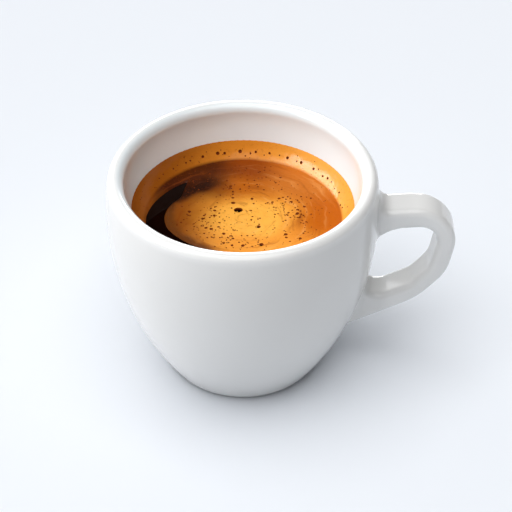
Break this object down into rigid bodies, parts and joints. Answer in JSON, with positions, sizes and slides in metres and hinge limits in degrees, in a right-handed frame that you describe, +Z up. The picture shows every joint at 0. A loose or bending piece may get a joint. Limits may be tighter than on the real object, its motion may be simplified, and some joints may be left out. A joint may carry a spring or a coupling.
{
  "type": "espresso shot",
  "caption": "Espresso with a golden crema and a crescent of dark coffee, in a thick white porcelain cup with an ear-shaped handle.",
  "frame": {"origin": "middle of the foot ring, on the surface that the cup stands on", "axes": "+Z up along the cup's axis, +X towards the handle, XZ the cup's plane of symmetry"},
  "size_m": [0.0863, 0.0672, 0.057],
  "materials": {
    "porcelain": "gloss",
    "coffee": "gloss",
    "crema": "satin"
  },
  "bodies": {
    "root": {"cup": "porcelain", "coffee": "coffee", "crema": "crema"}
  },
  "joints": []
}
